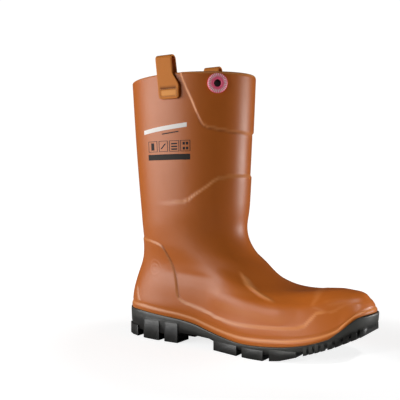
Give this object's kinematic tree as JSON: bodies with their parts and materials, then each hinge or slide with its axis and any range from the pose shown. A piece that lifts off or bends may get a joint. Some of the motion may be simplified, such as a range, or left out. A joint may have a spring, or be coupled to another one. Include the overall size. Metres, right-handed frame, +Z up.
{
  "type": "rigger boot",
  "caption": "Right pull-on rigger boot: brown moulded upper with shin panel, heel counter and toe cap, black lugged sole, pull loops and a round collar badge.",
  "frame": {"origin": "on the floor under the centre of the heel, on the sole's heel pad", "axes": "+X to the toe, +Y to the inner side of the foot, +Z up the shaft"},
  "size_m": [0.3094, 0.1109, 0.3286],
  "materials": {
    "upper": "matt moulded foam, warm tan brown, fine grain",
    "sole": "matt black moulded rubber",
    "insole": "dark grey felt",
    "strap": "matt tan webbing",
    "badge": "pink moulded ring with pale ticks",
    "badge_centre": "black"
  },
  "bodies": {
    "root": {"upper": "upper", "outsole": "sole", "insole": "insole", "pull_loop_outer": "strap", "pull_loop_inner": "strap", "badge_ring": "badge", "badge_plug": "badge_centre"}
  },
  "joints": []
}
